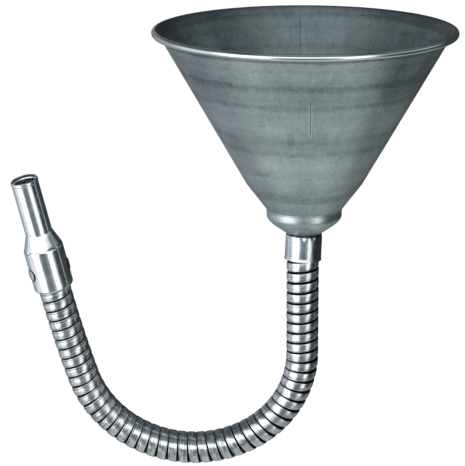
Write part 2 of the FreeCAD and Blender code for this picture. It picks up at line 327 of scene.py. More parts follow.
def mark_sheet_sides(obj, count):
    """Attribute inner: 0 on the first half of each section of a turned sheet, 1 on its other side."""
    half = np.repeat([0.0, 1.0], count // 2)
    values = np.tile(half, len(obj.data.vertices) // count).astype(np.float32)
    obj.data.attributes.new("inner", "FLOAT", "POINT").data.foreach_set("value", values)


def put(obj, matrix, body, *nodes, slot=None, material=None):
    """Places a piece's points, lets it ride on its body and stand for its CAD nodes, with its finish."""
    obj.data.transform(matrix)
    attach(obj, body)
    if nodes:
        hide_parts(*nodes)
    if material:
        obj.data.materials.append(material)
    return obj


def frame_matrix(point, x, y, z):
    m = Matrix((x, y, z)).transposed().to_4x4()
    m.translation = point
    return m


# The hose's centreline, from the joints' pivots


def joint_pivots():
    return [Vector(j["pos_m"]) for j in frame["joints"]]


def nozzle_direction():
    mount = next(m for m in record["mounts"] if m["name"] == "nozzle_tube")
    return Vector(mount["axis"]).normalized()


PIVOTS = joint_pivots()
NECK_ALONG = Vector((-sin_deg(NECK_TILT), 0.0, -cos_deg(NECK_TILT)))
NECK_INWARD = Vector((-cos_deg(NECK_TILT), 0.0, sin_deg(NECK_TILT)))


def segment_frames():
    """(along, inward, side) of the neck, of each turn and of the nozzle, carried along without twist."""
    directions = [NECK_ALONG]
    directions += [(b - a).normalized() for a, b in zip(PIVOTS, PIVOTS[1:])]
    directions.append(nozzle_direction())
    inward = NECK_INWARD.copy()
    frames = []
    for before, along in zip([directions[0]] + directions, directions):
        inward = before.rotation_difference(along) @ inward
        inward = (inward - along * inward.dot(along)).normalized()
        frames.append((along, inward, along.cross(inward)))
    return frames


SEGMENTS = segment_frames()


def frame_quaternion(along, inward, side):
    return Matrix((inward, side, along)).transposed().to_quaternion()


def pivot_quaternions():
    """The frame halfway between the two segments that meet at each pivot."""
    turns = [frame_quaternion(*s) for s in SEGMENTS]
    return [a.slerp(b, 0.5) for a, b in zip(turns, turns[1:])]


PIVOT_TURNS = pivot_quaternions()


def hose_place(s):
    """(point, quaternion) on the hose's smooth centreline, s pitches after the first pivot."""
    last = len(PIVOTS) - 1
    if s <= 0.0:
        turn = PIVOT_TURNS[0] if s == 0.0 else frame_quaternion(*SEGMENTS[0])
        return PIVOTS[0] + NECK_ALONG * (s * PITCH), turn
    if s >= last:
        return PIVOTS[last] + SEGMENTS[-1][0] * ((s - last) * PITCH), frame_quaternion(*SEGMENTS[-1])
    k = int(s)
    t = s - k
    a, b = PIVOTS[k], PIVOTS[k + 1]
    axis = Vector((0.0, 0.0, 1.0))
    ta, tb = PIVOT_TURNS[k] @ axis * PITCH, PIVOT_TURNS[k + 1] @ axis * PITCH
    point = (
        a * (2 * t**3 - 3 * t**2 + 1)
        + ta * (t**3 - 2 * t**2 + t)
        + b * (-2 * t**3 + 3 * t**2)
        + tb * (t**3 - t**2)
    )
    return point, PIVOT_TURNS[k].slerp(PIVOT_TURNS[k + 1], t)


def strip_outline():
    """Closed section (u, r) of the strip, u from the middle of its crown along the hose.

    The crown's lip covers the groove floor of the turn before. The floor folds down to an inner flange.
    """
    fold = GROOVE_DONE - STRIP
    corners = [
        (CROWN_START, CROWN_EDGE_R, LIP_ROUND),
        (0.25 * CROWN_START, HOSE_R, CROWN_ROUND),
        (0.25 * CROWN_DONE, HOSE_R, CROWN_ROUND),
        (CROWN_DONE, CROWN_EDGE_R, EDGE_ROUND),
        (CROWN_DONE + STEP_RUN, SHELF_R, STEP_ROUND),
        (SHELF_DONE, SHELF_R - 0.05 * MM, EDGE_ROUND),
        (SHELF_DONE + STEP_RUN, GROOVE_R, STEP_ROUND),
        (GROOVE_DONE, GROOVE_R, FOLD_ROUND),
        (GROOVE_DONE, BORE_R + STRIP, FOLD_ROUND),
        (FLANGE_DONE, BORE_R + STRIP, EDGE_ROUND),
        (FLANGE_DONE, BORE_R, EDGE_ROUND),
        (fold, BORE_R, FOLD_ROUND),
        (fold, GROOVE_R - STRIP, 0.0),
        (CROWN_DONE - STRIP, GROOVE_R - STRIP, 0.0),
        (CROWN_DONE - STRIP, HOSE_R - STRIP, 0.0),
        (CROWN_START + STRIP, HOSE_R - STRIP, 0.1 * MM),
        (CROWN_START + STRIP, LIP_END_R, 0.0),
        (CROWN_START, LIP_END_R, 0.0),
    ]
    return rounded(corners, steps=4, closed=True)


def strip_piece(name, start, end):
    """The strip from start to end, in turns after the first pivot, as a closed solid with capped ends."""
    section = np.array(strip_outline())
    steps = max(2, round(STRIP_STEPS * (end - start)))
    rows = []
    local = []
    length = 2.0 * math.pi * HOSE_R
    for i in range(steps + 1):
        s = start + (end - start) * i / steps
        point, turn = hose_place(s)
        angle = CUT_ANGLE + 360.0 * s
        inward, side, along = (turn @ Vector(v) for v in ((1, 0, 0), (0, 1, 0), (0, 0, 1)))
        outward = inward * cos_deg(angle) + side * sin_deg(angle)
        base, out, fore = (np.array(v) for v in (point, outward, along))
        rows.append(base + section[:, :1] * fore + section[:, 1:] * out)
        across = section[:, 0]
        local.append(np.column_stack([across, section[:, 1], np.full(len(section), s * length)]))
    columns = len(section)
    faces = grid_faces(len(rows), columns, False)
    faces.append(tuple(range(columns)))
    faces.append(tuple(reversed(range(len(rows) * columns - columns, len(rows) * columns))))
    local = np.concatenate(local)
    obj = mesh_piece(name, np.concatenate(rows), [f[::-1] for f in faces], local)
    across_and_along = local[:, [0, 2]]
    corners = np.empty(len(obj.data.loops), np.int32)
    obj.data.loops.foreach_get("vertex_index", corners)
    layer = obj.data.uv_layers.new(name="strip")
    layer.data.foreach_set("uv", across_and_along[corners].astype(np.float32).ravel())
    return obj


# Materials


class Nodes:
    """Short names for the nodes of one material."""

    def __init__(self, name):
        self.material = bpy.data.materials.new(name)
        self.material.use_nodes = True
        self.tree = self.material.node_tree
        self.shader = self.tree.nodes["Principled BSDF"]

    def add(self, kind, **inputs):
        node = self.tree.nodes.new("ShaderNode" + kind)
        for key, value in inputs.items():
            self.set(node.inputs[key.replace("_", " ")], value)
        return node

    def set(self, socket, value):
        if isinstance(value, bpy.types.NodeSocket):
            self.tree.links.new(value, socket)
        else:
            socket.default_value = value

    def attribute(self, name):
        node = self.add("Attribute")
        node.attribute_name = name
        return node.outputs["Vector"]

    def object_place(self):
        return self.add("TexCoord").outputs["Object"]

    def noise(self, vector, scale, detail=3.0, roughness=0.55, distortion=0.0):
        node = self.add("TexNoise", Scale=scale, Detail=detail, Roughness=roughness, Distortion=distortion)
        self.set(node.inputs["Vector"], vector)
        return node.outputs["Fac"]

    def calc(self, operation, a, b=0.0):
        node = self.add("Math")
        node.operation = operation
        self.set(node.inputs[0], a)
        self.set(node.inputs[1], b)
        return node.outputs[0]

    def remap(self, value, low, high, to_low=0.0, to_high=1.0):
        node = self.add("MapRange", From_Min=low, From_Max=high, To_Min=to_low, To_Max=to_high)
        self.set(node.inputs["Value"], value)
        return node.outputs["Result"]

    def smooth(self, value, low, high):
        node = self.add("MapRange", From_Min=low, From_Max=high)
        node.interpolation_type = "SMOOTHSTEP"
        self.set(node.inputs["Value"], value)
        return node.outputs["Result"]

    def band(self, value, centre, half, soft):
        """1 within half of the centre, falling to 0 over soft."""
        away = self.calc("ABSOLUTE", self.calc("SUBTRACT", value, centre))
        return self.smooth(away, half + soft, half)

    def both(self, *masks):
        out = masks[0]
        for mask in masks[1:]:
            out = self.calc("MULTIPLY", out, mask)
        return out

    def total(self, *terms):
        out = terms[0]
        for term in terms[1:]:
            out = self.calc("ADD", out, term)
        return out

    def reach(self, x, y):
        """Distance of the point (x, y) from the origin."""
        return self.calc("SQRT", self.total(self.calc("MULTIPLY", x, x), self.calc("MULTIPLY", y, y)))

    def swing(self, value, amount):
        """Noise as a tone from -amount to +amount."""
        return self.remap(value, 0.3, 0.7, -amount, amount)

    def brushed(self, tangent, amount, rotation=0.0):
        """Highlights drawn out across the metal's fine lines."""
        self.shader.inputs["Anisotropic"].default_value = amount
        self.shader.inputs["Anisotropic Rotation"].default_value = rotation
        self.set(self.shader.inputs["Tangent"], tangent)

    def tangent_round_z(self):
        node = self.add("Tangent")
        node.direction_type = "RADIAL"
        node.axis = "Z"
        return node.outputs[0]

    def tangent_along_uv(self, layer):
        node = self.add("Tangent")
        node.direction_type = "UV_MAP"
        node.uv_map = layer
        return node.outputs[0]

    def number(self, name):
        node = self.add("Attribute")
        node.attribute_name = name
        return node.outputs["Fac"]

    def mix(self, factor, a, b):
        node = self.add("Mix")
        node.data_type = "RGBA"
        self.set(node.inputs[0], factor)
        self.set(node.inputs[6], a)
        self.set(node.inputs[7], b)
        return node.outputs[2]

    def parts(self, vector):
        node = self.add("SeparateXYZ", Vector=vector)
        return node.outputs

    def vector(self, x, y, z):
        return self.add("CombineXYZ", X=x, Y=y, Z=z).outputs[0]

    def bump(self, height, strength, distance):
        node = self.add("Bump", Strength=strength, Distance=distance)
        self.set(node.inputs["Height"], height)
        return node.outputs[0]

    def finish(self, colour, roughness, normal):
        self.set(self.shader.inputs["Base Color"], colour)
        self.set(self.shader.inputs["Roughness"], roughness)
        self.shader.inputs["Metallic"].default_value = 1.0
        self.set(self.shader.inputs["Normal"], normal)
        return self.material

    def around(self, vector):
        """The direction about Z as a point on a circle, so that noise on it gives lines along the piece."""
        x, y, z = self.parts(vector)
        node = self.add("VectorMath")
        node.operation = "NORMALIZE"
        self.set(node.inputs[0], self.vector(x, y, 0.0))
        return self.parts(node.outputs[0]), z


def rgb(r, g, b):
    """A display colour from 0 to 255 as a linear one."""

    def linear(v):
        v /= 255.0
        return v / 12.92 if v <= 0.04045 else ((v + 0.055) / 1.055) ** 2.4

    return (linear(r), linear(g), linear(b), 1.0)


# Marks on the front of the cone, in mm: (x, half width, lowest z, highest z, softness, tone)
CONE_MARKS = (
    (1.6, 0.2, -46.0, -28.0, 0.25, 0.9),
    (2.3, 0.16, -45.0, -27.0, 0.2, -1.3),
    (3.0, 0.2, -47.0, -29.0, 0.25, 0.8),
    (4.6, 0.2, -49.0, -40.0, 0.4, 0.3),
    (-8.0, 1.2, -51.0, -45.0, 0.9, -0.35),
    (-7.0, 1.4, -60.0, -58.0, 0.9, -0.3),
    (-23.0, 3.6, -72.4, -71.2, 0.7, -0.5),
    (0.5, 3.0, -79.0, -73.0, 1.6, -0.22),
    # painted shade: broad dark patches towards the right and left edges of the front, below the roll
    (60.0, 10.0, -20.0, -8.0, 20.0, -0.8),
    (-58.0, 14.0, -26.0, -6.0, 12.0, -0.35),
    (-4.0, 44.0, -11.0, -3.0, 6.0, 0.25),
    (-2.0, 22.0, -84.0, -60.0, 10.0, 0.22),
)
# Darker and lighter rings round the cone, in mm: (z, half width, softness, tone)
CONE_RINGS = (
    # painted shadow just below the roll
    (-3.0, 0.6, 1.2, -0.8),
    (-19.5, 1.0, 2.0, -0.3),
    (-31.0, 0.6, 1.2, -0.25),
    (-41.0, 5.0, 5.0, 0.28),
    (-57.5, 0.8, 1.5, -0.15),
    (-69.0, 6.0, 6.0, 0.34),
    (-86.0, 1.6, 1.6, -0.45),
    (-91.5, 1.0, 1.2, 0.25),
)


def cone_marks_and_shade(n, place, inner):
    """Tone of the scratches, patches and rings on the cone and of the dark seam line inside its back, with painted
    shade: a shadow just below the roll, and broad dark patches towards the left and right of the front.
    """
    x, y, z = n.parts(place)
    reach = n.reach(x, y)
    front = n.both(n.smooth(y, 2.0 * MM, -2.0 * MM), n.remap(inner, 0.0, 1.0, 1.0, 0.0))
    back = n.both(n.smooth(y, -2.0 * MM, 2.0 * MM), inner, n.smooth(z, -4.0 * MM, -6.0 * MM))
    wobble = n.calc("MULTIPLY", n.calc("SUBTRACT", n.noise(place, 300.0, 4.0, 0.7), 0.5), 0.9 * MM)
    x = n.calc("ADD", x, wobble)
    seam = n.both(n.band(x, SEAM_X, 0.2 * MM, 0.5 * MM), back, -0.5)
    beside_seam = n.both(n.band(x, SEAM_X + 1.6 * MM, 0.6 * MM, 0.9 * MM), back, 0.25)
    # Painted shade: the inside darker towards its left and right.
    shaded_inner_sides = n.both(n.smooth(n.calc("ABSOLUTE", x), 20.0 * MM, 70.0 * MM), inner, -0.6)
    # Painted shadow inside the bowl, just under the roll.
    roll_inside = n.smooth(reach, RIM_CENTRE_R + 0.5 * MM, RIM_CENTRE_R - 0.6 * MM)
    shadow_under_roll = n.both(n.smooth(z, -4.5 * MM, -1.5 * MM), roll_inside, -0.5)
    tones = [seam, beside_seam, shaded_inner_sides, shadow_under_roll]
    for at, half, low, high, soft, tone in CONE_MARKS:
        height = n.band(z, (low + high) / 2.0 * MM, (high - low) / 2.0 * MM, max(soft, 1.0) * MM)
        tones.append(n.both(n.band(x, at * MM, half * MM, soft * MM), height, front, tone))
    outside = n.remap(inner, 0.0, 1.0, 1.0, 0.4)
    drift = n.calc("MULTIPLY", n.calc("SUBTRACT", n.noise(place, 25.0, 3.0, 0.6), 0.5), 5.0 * MM)
    level = n.calc("ADD", z, drift)
    for at, half, soft, tone in CONE_RINGS:
        tones.append(n.both(n.band(level, at * MM, half * MM, soft * MM), outside, tone))
    return n.total(*tones)


def cup_underside_shade(n, place, inner):
    """Painted shade on the cup's underside, darkening towards its outlet."""
    z = n.parts(place)[2]
    outside = n.remap(inner, 0.0, 1.0, 1.0, 0.0)
    return n.both(n.smooth(z, CUP_SHADE_START_Z, CUP_SHADE_FULL_Z), outside, -1.1)


def sheet_steel(name, light, dark, roughness, banding, streaks, anisotropy, marks_and_shade=None):
    """Dull galvanised sheet: spinning rings round the axis, faint draw lines along it, and blotches."""
    n = Nodes(name)
    place = n.attribute("local")
    inner = n.number("inner")
    (x, y, _), z = n.around(place)
    broad = n.noise(n.vector(0.0, 0.0, z), 130.0, 2.0, 0.5)
    drift = n.calc("MULTIPLY", n.noise(place, 20.0, 2.0), 2.0 * MM)
    rings = n.noise(n.vector(0.0, 0.0, n.calc("ADD", z, drift)), 900.0, 4.0, 0.7)
    streak = n.noise(n.vector(x, y, n.calc("MULTIPLY", z, 3.0)), 45.0, 5.0, 0.7)
    panel = n.noise(n.vector(x, y, n.calc("MULTIPLY", z, 8.0)), 5.0, 2.0, 0.5)
    blotch = n.noise(place, 60.0, 6.0, 0.65, 0.5)
    spots = n.noise(place, 420.0, 4.0, 0.7, 0.6)
    fine = n.noise(place, 1400.0, 3.0, 0.6)
    tones = [
        n.swing(broad, 0.6 * banding),
        n.swing(rings, 0.4 * banding),
        n.swing(streak, streaks),
        n.swing(panel, 0.5 * streaks),
        n.swing(blotch, 0.3),
        n.swing(spots, 0.26),
        n.swing(fine, 0.24),
    ]
    if marks_and_shade:
        tones.append(marks_and_shade(n, place, inner))
    tone = n.total(*tones)
    colour = n.mix(n.remap(tone, -1.0, 1.0), dark, light)
    place_x, place_y, _ = n.parts(place)
    # Painted highlight: the outer top of the roll is painted almost white, where it is also polished smoother by
    # handling.
    outer = n.smooth(n.reach(place_x, place_y), RIM_CENTRE_R - 0.4 * MM, RIM_CENTRE_R + 0.5 * MM)
    wear_and_highlight = n.both(n.smooth(z, RIM_WEAR_AND_HIGHLIGHT_Z - RIM_WEAR_AND_HIGHLIGHT_FADE, RIM_WEAR_AND_HIGHLIGHT_Z), outer)
    rough = n.remap(tone, -1.0, 1.0, roughness + 0.05, roughness - 0.05)
    rough = n.total(rough, n.calc("MULTIPLY", wear_and_highlight, -0.22))
    colour = n.mix(n.calc("MULTIPLY", wear_and_highlight, 0.8), colour, rgb(*RIM_HIGHLIGHT_COLOUR))
    height = n.total(n.calc("MULTIPLY", rings, 0.35), n.calc("MULTIPLY", fine, 0.3))
    height = n.total(height, n.calc("MULTIPLY", blotch, 0.7))
    n.brushed(n.tangent_round_z(), anisotropy, 0.25)
    return n.finish(colour, rough, n.bump(height, 0.25, 0.08 * MM))


def side_angle(n, x, y):
    """Degrees round a tube from the side that faces -Y, positive towards local -X."""
    turn = n.calc("ARCTAN2", n.calc("MULTIPLY", x, -1.0), n.calc("MULTIPLY", y, -1.0))
    return n.calc("DEGREES", turn)


def zinc_plate(name, light, dark, roughness, shaded_side=False, shadow_and_dark_lines=None):
    """Bright zinc plate: faint lines along the tube, soft haze, and, where asked for, a painted shade down one
    side and darker tones: painted shadow on the ferrule, darker lines on the nozzle.
    """
    n = Nodes(name)
    place = n.attribute("local")
    inner = n.number("inner")
    (x, y, _), z = n.around(place)
    streak = n.noise(n.vector(x, y, n.calc("MULTIPLY", z, 12.0)), 14.0, 4.0, 0.65)
    haze = n.noise(place, 160.0, 4.0, 0.6, 0.3)
    fine = n.noise(place, 1500.0, 2.0)
    share = n.total(n.calc("MULTIPLY", streak, 0.5), n.calc("MULTIPLY", haze, 0.5))
    colour = n.mix(n.remap(share, 0.35, 0.65), dark, light)
    # Painted shade: a dark band down one side of the tube, standing in for a dark reflection.
    if shaded_side:
        middle, half = (SIDE_SHADE_TO + SIDE_SHADE_FROM) / 2.0, (SIDE_SHADE_TO - SIDE_SHADE_FROM) / 2.0
        wave = n.calc("MULTIPLY", n.calc("SUBTRACT", haze, 0.5), SIDE_SHADE_WAVE)
        mask = n.band(n.calc("ADD", side_angle(n, x, y), wave), middle, half, SIDE_SHADE_SOFT)
        colour = n.mix(n.calc("MULTIPLY", mask, 1.0 - SIDE_SHADE_KEEP), colour, rgb(*SIDE_SHADE_COLOUR))
    # Painted shadow along the ferrule's top; on the nozzle, darker rings and a darker line.
    if shadow_and_dark_lines:
        colour = n.mix(shadow_and_dark_lines(n, place), colour, rgb(*SHADOW_AND_DARK_LINE_COLOUR))
    rough = n.remap(haze, 0.3, 0.7, roughness - 0.03, roughness + 0.06)
    rough = n.calc("ADD", rough, n.calc("MULTIPLY", inner, 0.1))
    height = n.total(n.calc("MULTIPLY", streak, 0.5), n.calc("MULTIPLY", fine, 0.1))
    return n.finish(colour, rough, n.bump(height, 0.25, 0.1 * MM))


def strip_steel():
    """Bright galvanised strip: rolling lines along it, haze, and painted shadow down in the groove, along the
    lip's edge and at the step.
    """
    n = Nodes("hose_strip_finish")
    across, radius, along = n.parts(n.attribute("local"))
    slow = n.calc("MULTIPLY", along, 0.03)
    rolling = n.noise(n.vector(across, n.calc("MULTIPLY", radius, 0.5), slow), 1900.0, 4.0, 0.7)
    broad = n.noise(n.vector(across, 0.0, n.calc("MULTIPLY", along, 0.16)), 800.0, 3.0, 0.6)
    haze = n.noise(n.vector(across, radius, along), 240.0, 4.0, 0.6)
    weights = ((rolling, 0.4), (broad, 0.35), (haze, 0.25))
    share = n.total(*(n.calc("MULTIPLY", value, weight) for value, weight in weights))
    metal = n.mix(n.remap(share, 0.38, 0.6), rgb(146, 157, 162), rgb(253, 255, 255))
    # Painted shadow: dark on the groove floor under the next turn's lip, along the lip's rounded edge and in a
    # thin line at the step.
    low = n.smooth(radius, SHELF_R - 0.06 * MM, GROOVE_R + 0.06 * MM)
    groove_floor_shadow = n.both(low, n.smooth(across, SHELF_DONE + 0.06 * MM, SHELF_DONE + 0.3 * MM))
    edge = n.smooth(across, CROWN_START + 0.46 * MM, CROWN_START + 0.26 * MM)
    step = n.band(across, CROWN_DONE + 0.04 * MM, 0.07 * MM, 0.07 * MM)
    groove_shadow = n.calc("MAXIMUM", n.calc("MAXIMUM", groove_floor_shadow, edge), n.calc("MULTIPLY", step, 0.85))
    colour = n.mix(groove_shadow, metal, rgb(*GROOVE_SHADOW_COLOUR))
    rough = n.calc("ADD", n.remap(haze, 0.3, 0.7, 0.17, 0.27), n.calc("MULTIPLY", groove_shadow, 0.4))
    height = n.total(n.calc("MULTIPLY", rolling, 0.12), broad, n.calc("MULTIPLY", haze, 0.9))
    n.brushed(n.tangent_along_uv("strip"), 0.86)
    return n.finish(colour, rough, n.bump(height, 0.8, 0.14 * MM))


def dull_metal(name, light, dark, roughness, grain):
    """Plain small parts: mottled tone and a little grain."""
    n = Nodes(name)
    place = n.object_place()
    mottle = n.noise(place, 180.0, 5.0, 0.6)
    fine = n.noise(place, grain, 3.0)
    colour = n.mix(n.remap(mottle, 0.35, 0.65), dark, light)
    rough = n.remap(fine, 0.3, 0.7, roughness - 0.06, roughness + 0.08)
    return n.finish(colour, rough, n.bump(fine, 0.3, 0.05 * MM))


def set_material(node, material):
    """Gives a CAD node that is shown its finish."""
    obj = frame["nodes"][node]
    obj.data.materials.clear()
    obj.data.materials.append(material)


# Bowl


RIM_ROLL_R = RIM_WIRE_R + WIRE_PLAY + SHEET
RIM_CENTRE_R = cad_high.x - RIM_ROLL_R
CONE_TOP_R = RIM_CENTRE_R - (RIM_ROLL_R - SHEET) / cos_deg(CONE_HALF_ANGLE)


def cone_r(z):
    """Outside radius of the bowl's upper cone."""
    return CONE_TOP_R + z * tan_deg(CONE_HALF_ANGLE)


SKIRT_TOP_Z = CONE_BREAK_Z - (cone_r(CONE_BREAK_Z) - SKIRT_R) / tan_deg(LOWER_HALF_ANGLE)
SKIRT_END_Z = SKIRT_TOP_Z - SKIRT_H
CUP_R = SKIRT_R + CUP_LAP_PLAY + SHEET
CUP_TOP_Z = SKIRT_TOP_Z - 0.1 * MM


def bowl_outline():
    inside = RIM_ROLL_R - SHEET
    joins = 180.0 - CONE_HALF_ANGLE
    roll = arc_points((RIM_CENTRE_R, 0.0), inside, joins - CURL_WRAP, joins, 40)
    line = rounded(
        [
            (*roll[-1], 0.0),
            (cone_r(CONE_BREAK_Z), CONE_BREAK_Z, CONE_BREAK_ROUND),
            (SKIRT_R, SKIRT_TOP_Z, SKIRT_ROUND),
            (SKIRT_R, SKIRT_END_Z, 0.0),
        ]
    )
    line = roll[:-1] + spaced(line, 1.5 * MM)
    return sheet_outline(line, SHEET)


def bowl_relief(angle, r, z):
    """Faint waves that the forming left round the cone."""
    wave = np.sin(z / (2.3 * MM)) * 0.5 + np.sin(z / (0.9 * MM) + 1.3) * 0.3
    dent = np.sin(2.0 * angle + 0.7) * 0.5 + np.sin(3.0 * angle - 40.0 * z) * 0.3
    below_rim = np.clip((-6.0 * MM - z) / (6.0 * MM), 0.0, 1.0)
    above_skirt = np.clip((z - SKIRT_TOP_Z) / (5.0 * MM), 0.0, 1.0)
    return below_rim * above_skirt * (wave * 0.02 * MM + dent * 0.06 * MM)


def cup_outline():
    wall_end = CUP_TOP_Z - CUP_WALL_H
    shoulder = (CUP_R - CUP_SHOULDER_R, wall_end)
    grow = CUP_BELLY_R - CUP_SHOULDER_R
    belly_r = shoulder[0] - grow * cos_deg(CUP_SHOULDER_ANGLE)
    belly = (belly_r, shoulder[1] + grow * sin_deg(CUP_SHOULDER_ANGLE))
    turn = arc_points(shoulder, CUP_SHOULDER_R, 0.0, -CUP_SHOULDER_ANGLE, 12)
    under = arc_points(belly, CUP_BELLY_R, -CUP_SHOULDER_ANGLE, -CUP_BELLY_ANGLE, 8)
    end = under[-1]
    corner_z = end[1] - (end[0] - NECK_R) * tan_deg(90.0 - CUP_BELLY_ANGLE)
    neck = rounded([(*end, 0.0), (NECK_R, corner_z, NECK_FILLET), (NECK_R, NECK_END_Z, 0.0)], steps=8)
    line = [(CUP_R, CUP_TOP_Z)] + turn + under[1:] + spaced(neck, 1.2 * MM)[1:]
    return sheet_outline(line, SHEET)


def ferrule_outline():
    """Section (r, z) with z along the hose from the first pivot."""
    lip = FERRULE_START_DEPTH
    top = lip - FERRULE_L
    shoulder = (FERRULE_R - FERRULE_SHOULDER_R, top + FERRULE_SHOULDER_R)
    body_end = lip - FERRULE_LIP_H
    line = arc_points(shoulder, FERRULE_SHOULDER_R, -70.0, 0.0, 10)
    line += spaced([(FERRULE_R, shoulder[1]), (FERRULE_R, body_end)], 1.0 * MM)[1:]
    line += [(FERRULE_R + FERRULE_FLARE, body_end + FERRULE_FLARE_L), (FERRULE_LIP_R, lip)]
    return sheet_outline(line, -FERRULE_WALL)


def nozzle_outline():
    bead = NOZZLE_L - TIP_BEAD_L
    line = rounded(
        [
            (SOCKET_LIP_R, SOCKET_START, 0.0),
            (SOCKET_R, SOCKET_START + SOCKET_LIP_H, 0.4 * MM),
            (SOCKET_R, SOCKET_END, SHOULDER_ROUND),
            (TUBE_R, TUBE_START, SHOULDER_ROUND),
            (TUBE_R, bead, 0.3 * MM),
            (TIP_BEAD_R, bead + TIP_BEAD_FLANK, 0.3 * MM),
            (TIP_BEAD_R, NOZZLE_L - TIP_BEAD_FLANK, 0.3 * MM),
            (TIP_BEAD_R - 0.4 * MM, NOZZLE_L, 0.0),
        ],
        steps=8,
    )
    return sheet_outline(spaced(line, 1.0 * MM), -NOZZLE_WALL)


def solder_outline():
    """Solder that runs smoothly from the cone's face out to the cup's edge."""
    low = CUP_TOP_Z + SOLDER_GAP
    high = SKIRT_TOP_Z + SOLDER_H
    inner = SKIRT_R + CUP_LAP_PLAY
    inner_z = SKIRT_TOP_Z + (inner - SKIRT_R) / tan_deg(LOWER_HALF_ANGLE) - SOLDER_GAP
    on_cone = SKIRT_R + SOLDER_H * tan_deg(LOWER_HALF_ANGLE)
    return rounded(
        [
            (inner, low, 0.0),
            (CUP_R, low, 0.0),
            (CUP_R + SOLDER_BULGE, low + 0.2 * SOLDER_H, 0.4 * MM),
            (CUP_R + SOLDER_BULGE, SKIRT_TOP_Z + 0.5 * SOLDER_H, 0.8 * MM),
            (on_cone + SOLDER_GAP, high, 0.0),
            (inner, inner_z - SOLDER_GAP, 0.0),
        ],
        steps=5,
        closed=True,
    )


def build_bowl():
    light, dark = rgb(206, 219, 219), rgb(116, 128, 130)
    steel = sheet_steel("bowl_finish", light, dark, 0.38, 0.42, 0.13, 0.3, cone_marks_and_shade)
    outline = bowl_outline()
    bowl = lathe("bowl", outline, FINE_TURN_STEPS, bowl_relief)
    mark_sheet_sides(bowl, len(outline))
    put(bowl, Matrix.Identity(4), "bowl", "funnel_bowl", slot="bowl_steel", material=steel)
    light, dark = rgb(220, 232, 233), rgb(150, 162, 164)
    # The cup's underside gets a painted shade round its outlet.
    satin = sheet_steel("cup_finish", light, dark, 0.36, 0.3, 0.05, 0.2, cup_underside_shade)
    outline = cup_outline()
    cup = lathe("sump", outline)
    mark_sheet_sides(cup, len(outline))
    put(cup, Matrix.Identity(4), "bowl", "sump_cup", slot="cup_steel", material=satin)
    solder = lathe("solder_bead", solder_outline())
    grey = sheet_steel("solder_finish", rgb(206, 219, 220), rgb(130, 142, 144), 0.4, 0.3, 0.05, 0.2)
    put(solder, Matrix.Identity(4), "bowl", "solder_seam", slot="solder", material=grey)
    wire = dull_metal("wire_finish", rgb(170, 172, 176), rgb(110, 112, 116), 0.4, 1800.0)
    set_material("rim_wire", wire)


def build_strainer():
    brass = dull_metal("strainer_finish", rgb(190, 160, 96), rgb(120, 98, 58), 0.38, 1500.0)
    set_material("strainer_ring", brass)
    set_material("strainer_screen", brass)


# Ferrule and nozzle


def crimp_relief(angle, r, z):
    """Dents pressed into the ferrule's shoulder."""
    top = FERRULE_START_DEPTH - FERRULE_L
    near = np.clip((top + CRIMP_REACH - z) / CRIMP_FADE, 0.0, 1.0)
    return -CRIMP_DEPTH * near * (0.5 + 0.5 * np.cos(CRIMP_COUNT * angle)) ** 2


def facet_relief(angle, r, z):
    """Flats left on the nozzle's shoulder by the swaging jaws."""
    start, end = SOCKET_END - 0.5 * MM, TUBE_START + 1.0 * MM
    near = np.clip((z - start) / (2.0 * MM), 0.0, 1.0) * np.clip((end - z) / (2.5 * MM), 0.0, 1.0)
    span = 2.0 * math.pi / FACET_COUNT
    off = (angle + math.pi / 2.0) % span - span / 2.0
    corner = 1.0 / math.cos(span / 2.0)
    flat = (1.0 / np.cos(off) - corner) / (corner - 1.0)
    return FACET_DEPTH * near * flat


def build_ferrule():
    light, dark = rgb(236, 243, 247), rgb(188, 200, 207)
    # The ferrule gets a painted shade down its right side and a painted shadow along its top.
    zinc = zinc_plate("ferrule_finish", light, dark, 0.19, shaded_side=True, shadow_and_dark_lines=shoulder_shadow)
    outline = ferrule_outline()
    obj = lathe("ferrule", outline, FINE_TURN_STEPS, crimp_relief)
    mark_sheet_sides(obj, len(outline))
    along, inward, side = SEGMENTS[0]
    place = frame_matrix(PIVOTS[0], inward, side, along)
    put(obj, place, "bowl", "hose_ferrule", slot="ferrule_zinc", material=zinc)


def rivet_way(angle):
    """The way a rivet's head points, in the nozzle's own frame."""
    return Vector((-sin_deg(angle), -cos_deg(angle), 0.0))


def rivet_rings(n, place):
    """A darker ring round each rivet head."""
    rings = []
    for angle in RIVET_ANGLES:
        way = rivet_way(angle)
        x, y, z = n.parts(place)
        reach = n.total(n.calc("MULTIPLY", x, way.x), n.calc("MULTIPLY", y, way.y))
        sideways = n.total(n.calc("MULTIPLY", x, -way.y), n.calc("MULTIPLY", y, way.x))
        away = n.reach(sideways, n.calc("SUBTRACT", z, RIVET_U))
        ring = n.smooth(away, RIVET_HEAD_R + 0.5 * MM, RIVET_HEAD_R + 0.1 * MM)
        rings.append(n.both(ring, n.smooth(reach, 0.0, MM)))
    return n.calc("MAXIMUM", rings[0], rings[1])


def nozzle_dark_lines(n, place):
    """Darker rings round the rivets and a darker wavy line where the shoulder starts."""
    x, y, z = n.parts(place)
    turn = n.calc("MULTIPLY", n.calc("RADIANS", side_angle(n, x, y)), 0.5 * FACET_COUNT)
    wave = n.calc("MULTIPLY", n.calc("ABSOLUTE", n.calc("SINE", turn)), -1.6 * MM)
    line = n.band(n.calc("ADD", z, wave), SOCKET_END - 0.4 * MM, 0.16 * MM, 0.3 * MM)
    patchy = n.remap(n.noise(place, 90.0, 3.0), 0.4, 0.6, 0.3, 0.9)
    return n.calc("MAXIMUM", rivet_rings(n, place), n.calc("MULTIPLY", line, patchy))


